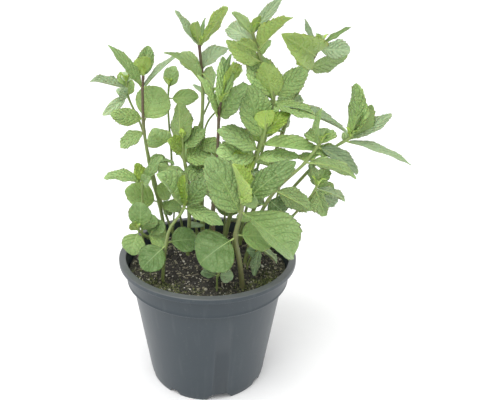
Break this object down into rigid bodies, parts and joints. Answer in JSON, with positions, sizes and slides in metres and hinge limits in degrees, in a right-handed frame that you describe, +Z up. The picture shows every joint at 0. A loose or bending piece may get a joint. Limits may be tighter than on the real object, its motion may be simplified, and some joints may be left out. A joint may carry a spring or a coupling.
{
  "type": "potted mint plant",
  "caption": "Leafy mint plant with toothed leaves on upright branching stems, growing in soil in a round tapered nursery pot with a flat rim and a notched foot.",
  "frame": {"origin": "on the pot's axis at the level of its flat base", "axes": "+Z up along the pot's axis, +X to the right and -Y to the front as the plant is usually seen"},
  "size_m": [0.2037, 0.1294, 0.2566],
  "materials": {
    "pot_plastic": "satin injection-moulded plastic, dark slate grey",
    "potting_soil": "dark crumbly potting soil",
    "mint_green": "soft quilted mint leaf, slightly downy, and green to purple-brown stem"
  },
  "bodies": {
    "root": {"pot": "pot_plastic", "soil": "potting_soil", "stem_left_tall": "mint_green", "stem_left_side": "mint_green", "stem_left_back": "mint_green", "stem_back_thin": "mint_green", "stem_middle_left": "mint_green", "stem_top_left": "mint_green", "stem_middle_dark": "mint_green", "stem_middle_bright": "mint_green", "stem_top_middle": "mint_green", "stem_top_right": "mint_green", "stem_right": "mint_green", "stem_far_right": "mint_green", "stem_right_low": "mint_green", "stem_front_big": "mint_green", "stem_front_left": "mint_green", "stem_left_low": "mint_green", "shoot_left_back": "mint_green", "stem_back_middle": "mint_green", "stem_back_right": "mint_green", "stem_back_left": "mint_green", "stem_right_back": "mint_green", "stem_thin_left": "mint_green", "stem_thin_right": "mint_green", "seedling_right": "mint_green", "seedling_front": "mint_green"}
  },
  "joints": []
}
